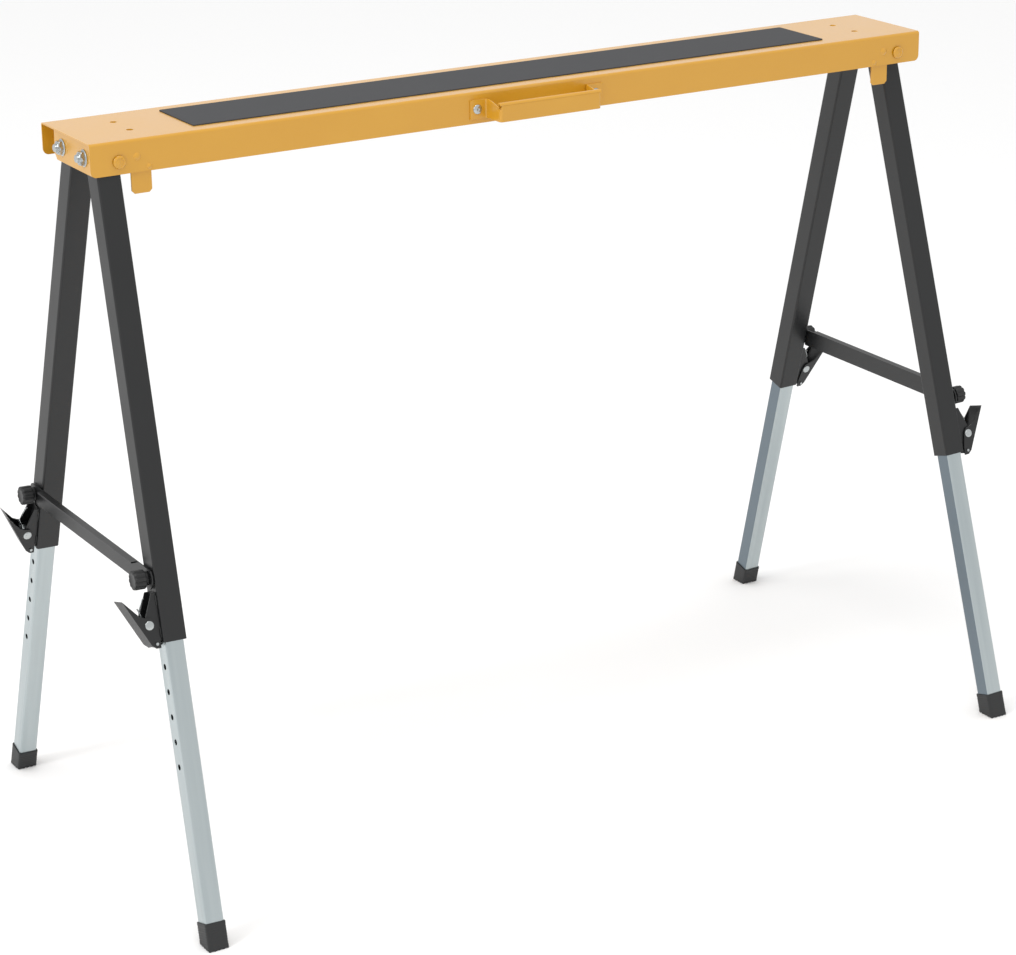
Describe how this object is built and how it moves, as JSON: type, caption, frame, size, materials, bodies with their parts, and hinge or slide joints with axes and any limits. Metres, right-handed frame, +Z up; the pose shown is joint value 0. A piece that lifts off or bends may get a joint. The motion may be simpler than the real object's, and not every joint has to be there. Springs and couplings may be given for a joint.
{
  "type": "folding trestle",
  "caption": "Folding work trestle: steel channel beam on splayed telescopic legs with spring latches, hinged braces, fold brackets and a carrying handle.",
  "frame": {"origin": "on the floor, under the middle of the beam", "axes": "+X along the beam, +Y towards the back flange, -Y towards the flange with the handle, +Z up"},
  "size_m": [1.0824, 0.5484, 0.7672],
  "materials": {
    "yellow_enamel": "semi-gloss powder coat",
    "black_enamel": "satin powder coat",
    "zinc_plate": "bright zinc plating",
    "mat_rubber": "matt ribbed rubber",
    "foot_rubber": "matt moulded rubber",
    "knob_plastic": "matt moulded plastic"
  },
  "bodies": {
    "beam": {"beam": "yellow_enamel", "top_mat": "mat_rubber", "handle": "yellow_enamel", "handle_rivets": "zinc_plate", "left_fold_pins": "yellow_enamel", "left_lock_rivets": "yellow_enamel", "right_fold_pins": "yellow_enamel", "right_lock_rivets": "yellow_enamel"},
    "left_bracket": {"left_fold_bracket": "yellow_enamel", "left_spread_bolts": "zinc_plate", "left_spread_nuts": "zinc_plate"},
    "left_front_lock": {"left_front_lock_plate": "yellow_enamel"},
    "left_back_lock": {"left_back_lock_plate": "yellow_enamel"},
    "right_bracket": {"right_fold_bracket": "yellow_enamel", "right_spread_bolts": "zinc_plate", "right_spread_nuts": "zinc_plate"},
    "right_front_lock": {"right_front_lock_plate": "yellow_enamel"},
    "right_back_lock": {"right_back_lock_plate": "yellow_enamel"},
    "left_front_leg": {"left_front_outer_leg": "black_enamel", "left_front_latch_housing": "black_enamel", "left_front_latch_rivet": "zinc_plate", "left_front_latch_spring": "zinc_plate", "left_front_brace_stud": "zinc_plate"},
    "left_front_lower": {"left_front_inner_leg": "zinc_plate", "left_front_foot": "foot_rubber"},
    "left_front_lever": {"left_front_latch_lever": "black_enamel", "left_front_lock_pin": "zinc_plate"},
    "left_front_knob": {"left_front_brace_knob": "knob_plastic"},
    "left_back_leg": {"left_back_outer_leg": "black_enamel", "left_back_latch_housing": "black_enamel", "left_back_latch_rivet": "zinc_plate", "left_back_latch_spring": "zinc_plate", "left_back_brace_stud": "zinc_plate"},
    "left_back_lower": {"left_back_inner_leg": "zinc_plate", "left_back_foot": "foot_rubber"},
    "left_back_lever": {"left_back_latch_lever": "black_enamel", "left_back_lock_pin": "zinc_plate"},
    "left_back_knob": {"left_back_brace_knob": "knob_plastic"},
    "right_front_leg": {"right_front_outer_leg": "black_enamel", "right_front_latch_housing": "black_enamel", "right_front_latch_rivet": "zinc_plate", "right_front_latch_spring": "zinc_plate", "right_front_brace_stud": "zinc_plate"},
    "right_front_lower": {"right_front_inner_leg": "zinc_plate", "right_front_foot": "foot_rubber"},
    "right_front_lever": {"right_front_latch_lever": "black_enamel", "right_front_lock_pin": "zinc_plate"},
    "right_front_knob": {"right_front_brace_knob": "knob_plastic"},
    "right_back_leg": {"right_back_outer_leg": "black_enamel", "right_back_latch_housing": "black_enamel", "right_back_latch_rivet": "zinc_plate", "right_back_latch_spring": "zinc_plate", "right_back_brace_stud": "zinc_plate"},
    "right_back_lower": {"right_back_inner_leg": "zinc_plate", "right_back_foot": "foot_rubber"},
    "right_back_lever": {"right_back_latch_lever": "black_enamel", "right_back_lock_pin": "zinc_plate"},
    "right_back_knob": {"right_back_brace_knob": "knob_plastic"},
    "left_brace": {"left_brace": "black_enamel"},
    "right_brace": {"right_brace": "black_enamel"}
  },
  "joints": [
    {"name": "left_fold", "type": "hinge", "parent": "beam", "child": "left_bracket", "pos_m": [-0.47, 0, 0.7455], "axis": [0, -1, 0], "range_deg": [0, 90]},
    {"name": "left_front_lock_swing", "type": "hinge", "parent": "beam", "child": "left_front_lock", "pos_m": [-0.451, 0, 0.7485], "axis": [0, -1, 0], "range_deg": [0, 90]},
    {"name": "left_back_lock_swing", "type": "hinge", "parent": "beam", "child": "left_back_lock", "pos_m": [-0.451, 0, 0.7485], "axis": [0, -1, 0], "range_deg": [0, 90]},
    {"name": "right_fold", "type": "hinge", "parent": "beam", "child": "right_bracket", "pos_m": [0.47, 0, 0.7455], "axis": [0, 1, 0], "range_deg": [0, 90]},
    {"name": "right_front_lock_swing", "type": "hinge", "parent": "beam", "child": "right_front_lock", "pos_m": [0.451, 0, 0.7485], "axis": [0, 1, 0], "range_deg": [0, 90]},
    {"name": "right_back_lock_swing", "type": "hinge", "parent": "beam", "child": "right_back_lock", "pos_m": [0.451, 0, 0.7485], "axis": [0, 1, 0], "range_deg": [0, 90]},
    {"name": "left_front_spread", "type": "hinge", "parent": "left_bracket", "child": "left_front_leg", "pos_m": [-0.47991, -0.0405, 0.7488], "axis": [0.9996, 0, -0.0297], "range_deg": [0, 16.5]},
    {"name": "left_front_height", "type": "slide", "parent": "left_front_leg", "child": "left_front_lower", "axis": [-0.0284, -0.284, -0.9584], "range_m": [-0.125, 0.05]},
    {"name": "left_front_latch", "type": "hinge", "parent": "left_front_leg", "child": "left_front_lever", "pos_m": [-0.51687, -0.17001, 0.31248], "axis": [-0.0084, 0.9588, -0.2839], "range_deg": [0, 20], "stiffness_Nm_per_rad": 0.3, "springref_deg": -17.19},
    {"name": "left_front_knob_turn", "type": "hinge", "parent": "left_front_leg", "child": "left_front_knob", "pos_m": [-0.51409, -0.15723, 0.35556], "axis": [-0.9996, 0, 0.0297], "continuous": true},
    {"name": "left_back_spread", "type": "hinge", "parent": "left_bracket", "child": "left_back_leg", "pos_m": [-0.47991, 0.0135, 0.7488], "axis": [-0.9996, 0, 0.0297], "range_deg": [0, 16.5]},
    {"name": "left_back_height", "type": "slide", "parent": "left_back_leg", "child": "left_back_lower", "axis": [-0.0284, 0.284, -0.9584], "range_m": [-0.125, 0.05]},
    {"name": "left_back_latch", "type": "hinge", "parent": "left_back_leg", "child": "left_back_lever", "pos_m": [-0.51687, 0.14301, 0.31248], "axis": [0.0084, 0.9588, 0.2839], "range_deg": [0, 20], "stiffness_Nm_per_rad": 0.3, "springref_deg": -17.19},
    {"name": "left_back_knob_turn", "type": "hinge", "parent": "left_back_leg", "child": "left_back_knob", "pos_m": [-0.51409, 0.13023, 0.35556], "axis": [-0.9996, 0, 0.0297], "continuous": true},
    {"name": "right_front_spread", "type": "hinge", "parent": "right_bracket", "child": "right_front_leg", "pos_m": [0.47991, -0.0135, 0.7488], "axis": [0.9996, 0, 0.0297], "range_deg": [0, 16.5]},
    {"name": "right_front_height", "type": "slide", "parent": "right_front_leg", "child": "right_front_lower", "axis": [0.0284, -0.284, -0.9584], "range_m": [-0.125, 0.05]},
    {"name": "right_front_latch", "type": "hinge", "parent": "right_front_leg", "child": "right_front_lever", "pos_m": [0.51687, -0.14301, 0.31248], "axis": [-0.0084, -0.9588, 0.2839], "range_deg": [0, 20], "stiffness_Nm_per_rad": 0.3, "springref_deg": -17.19},
    {"name": "right_front_knob_turn", "type": "hinge", "parent": "right_front_leg", "child": "right_front_knob", "pos_m": [0.51409, -0.13023, 0.35556], "axis": [0.9996, 0, 0.0297], "continuous": true},
    {"name": "right_back_spread", "type": "hinge", "parent": "right_bracket", "child": "right_back_leg", "pos_m": [0.47991, 0.0405, 0.7488], "axis": [-0.9996, 0, -0.0297], "range_deg": [0, 16.5]},
    {"name": "right_back_height", "type": "slide", "parent": "right_back_leg", "child": "right_back_lower", "axis": [0.0284, 0.284, -0.9584], "range_m": [-0.125, 0.05]},
    {"name": "right_back_latch", "type": "hinge", "parent": "right_back_leg", "child": "right_back_lever", "pos_m": [0.51687, 0.17001, 0.31248], "axis": [0.0084, -0.9588, -0.2839], "range_deg": [0, 20], "stiffness_Nm_per_rad": 0.3, "springref_deg": -17.19},
    {"name": "right_back_knob_turn", "type": "hinge", "parent": "right_back_leg", "child": "right_back_knob", "pos_m": [0.51409, 0.15723, 0.35556], "axis": [0.9996, 0, 0.0297], "continuous": true},
    {"name": "left_brace_swing", "type": "hinge", "parent": "left_front_leg", "child": "left_brace", "pos_m": [-0.50629, -0.15723, 0.35533], "axis": [0.9996, 0, -0.0297], "range_deg": [0, 73.5]},
    {"name": "right_brace_swing", "type": "hinge", "parent": "right_front_leg", "child": "right_brace", "pos_m": [0.50629, -0.13023, 0.35533], "axis": [0.9996, 0, 0.0297], "range_deg": [0, 73.5]}
  ],
  "couplings": [
    {"joint": "left_front_lock_swing", "follows": "left_fold", "ratio": 1},
    {"joint": "left_back_lock_swing", "follows": "left_fold", "ratio": 1},
    {"joint": "right_front_lock_swing", "follows": "right_fold", "ratio": 1},
    {"joint": "right_back_lock_swing", "follows": "right_fold", "ratio": 1},
    {"joint": "left_front_spread", "follows": "left_fold", "ratio": 0.18333},
    {"joint": "left_back_spread", "follows": "left_fold", "ratio": 0.18333},
    {"joint": "right_front_spread", "follows": "right_fold", "ratio": 0.18333},
    {"joint": "right_back_spread", "follows": "right_fold", "ratio": 0.18333},
    {"joint": "left_brace_swing", "follows": "left_fold", "ratio": 0.81667},
    {"joint": "right_brace_swing", "follows": "right_fold", "ratio": 0.81667}
  ]
}
